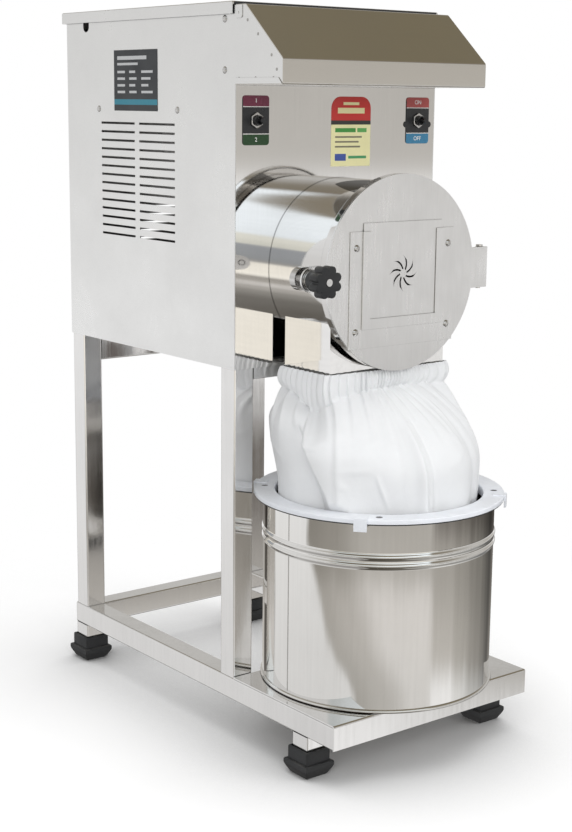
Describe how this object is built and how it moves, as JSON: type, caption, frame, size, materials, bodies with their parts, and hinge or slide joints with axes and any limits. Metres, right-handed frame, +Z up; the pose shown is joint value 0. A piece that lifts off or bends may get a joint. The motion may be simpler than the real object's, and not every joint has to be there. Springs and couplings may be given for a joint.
{
  "type": "electric grain mill",
  "caption": "Floor-standing electric grain mill on a tube stand, with a hinged lid, round grinding chamber with a clamped door, cloth sleeve and collecting bucket.",
  "frame": {"origin": "on the floor, under the middle of the whole object's box", "axes": "+Z up, -Y towards the user, chamber door in front, +X to the right of someone facing the mill's back"},
  "size_m": [0.345, 0.666, 0.941],
  "materials": {
    "stand_steel": "polished",
    "foot_rubber": "matt",
    "casing_steel": "polished sheet",
    "hood_steel": "bronze tinted",
    "fastener_steel": "zinc plated",
    "black_plastic": "moulded",
    "switch_print": "printed plate",
    "label_print": "printed label",
    "rating_print": "printed plate",
    "chamber_steel": "polished",
    "grinding_iron": "machined",
    "door_steel": "satin",
    "motor_paint": "enamel",
    "bearing_steel": "ground",
    "capacitor_case": "moulded",
    "hopper_steel": "sheet",
    "bucket_steel": "polished",
    "ring_plastic": "moulded",
    "sleeve_cloth": "woven"
  },
  "bodies": {
    "frame": {"leg_front_left": "stand_steel", "leg_front_right": "stand_steel", "leg_rear_left": "stand_steel", "leg_rear_right": "stand_steel", "base_rail_left": "stand_steel", "base_rail_right": "stand_steel", "base_cross_rails": "stand_steel", "upper_cross_rails": "stand_steel", "upper_side_rails": "stand_steel", "shelf_tray": "stand_steel", "foot_stubs": "stand_steel", "rubber_feet": "foot_rubber", "left_panel": "casing_steel", "right_panel": "casing_steel", "front_panel": "casing_steel", "rear_panel": "casing_steel", "floor_pan": "casing_steel", "hood_cheeks": "casing_steel", "hood_cover": "hood_steel", "panel_screws": "fastener_steel", "lid_hinges": "fastener_steel", "lid_hinge_rods": "fastener_steel", "switch_nuts": "fastener_steel", "door_hinge_pin": "fastener_steel", "cable_gland": "black_plastic", "switch_bodies": "black_plastic", "switch_plates": "switch_print", "front_label": "label_print", "rating_plate": "rating_print", "chamber_barrel": "chamber_steel", "discharge_chute": "chamber_steel", "door_hinge_bracket": "chamber_steel", "clamp_lug": "chamber_steel", "chamber_screen": "chamber_steel", "chamber_back_plate": "grinding_iron", "chamber_liner": "grinding_iron", "motor_housing": "motor_paint", "motor_end_shields": "motor_paint", "motor_bearings": "bearing_steel", "capacitor": "capacitor_case", "hopper": "hopper_steel"},
    "lid": {"lid": "casing_steel", "lid_leaves": "fastener_steel"},
    "door": {"door_plate": "door_steel", "door_gasket": "foot_rubber", "shutter_frame": "door_steel", "shutter_screws": "fastener_steel"},
    "shutter": {"shutter_plate": "door_steel"},
    "clamp_washer": {"knob_washer": "fastener_steel"},
    "clamp_knob": {"star_knob": "black_plastic", "knob_stud": "fastener_steel"},
    "mode_switch": {"mode_lever": "black_plastic"},
    "power_switch": {"power_lever": "black_plastic"},
    "spindle": {"motor_shaft": "fastener_steel", "grinding_rotor": "grinding_iron", "rotor_nut": "fastener_steel", "cooling_fan": "black_plastic"},
    "bucket": {"bucket": "bucket_steel", "ring_cover": "ring_plastic", "cloth_sleeve": "sleeve_cloth"}
  },
  "joints": [
    {"name": "lid_hinge", "type": "hinge", "parent": "frame", "child": "lid", "pos_m": [0, 0.3295, 0.922], "axis": [-1, 0, 0], "range_deg": [0, 100]},
    {"name": "door_hinge", "type": "hinge", "parent": "frame", "child": "door", "pos_m": [0.14, -0.199, 0.616], "axis": [0, 0, 1], "range_deg": [0, 105]},
    {"name": "shutter_slide", "type": "slide", "parent": "door", "child": "shutter", "axis": [0, 0, 1], "range_m": [0, 0.06]},
    {"name": "clamp_travel", "type": "slide", "parent": "door", "child": "clamp_washer", "axis": [0, -1, 0], "range_m": [0, 0.006]},
    {"name": "knob_turn", "type": "hinge", "parent": "clamp_washer", "child": "clamp_knob", "pos_m": [-0.1446, -0.227, 0.616], "axis": [0, -1, 0], "range_deg": [0, 1440]},
    {"name": "mode_toggle", "type": "hinge", "parent": "frame", "child": "mode_switch", "pos_m": [-0.134, -0.084, 0.8], "axis": [1, 0, 0], "range_deg": [-14, 14]},
    {"name": "power_toggle", "type": "hinge", "parent": "frame", "child": "power_switch", "pos_m": [0.134, -0.084, 0.8], "axis": [1, 0, 0], "range_deg": [-14, 14]},
    {"name": "spindle_spin", "type": "hinge", "parent": "frame", "child": "spindle", "pos_m": [0, -0.081, 0.616], "axis": [0, 1, 0], "continuous": true},
    {"name": "bucket_slide", "type": "slide", "parent": "frame", "child": "bucket", "axis": [0, -1, 0], "range_m": [0, 0.33], "deforming": ["cloth_sleeve"]}
  ],
  "couplings": [
    {"joint": "clamp_travel", "follows": "knob_turn", "m_per_rad": 0.00023873}
  ]
}
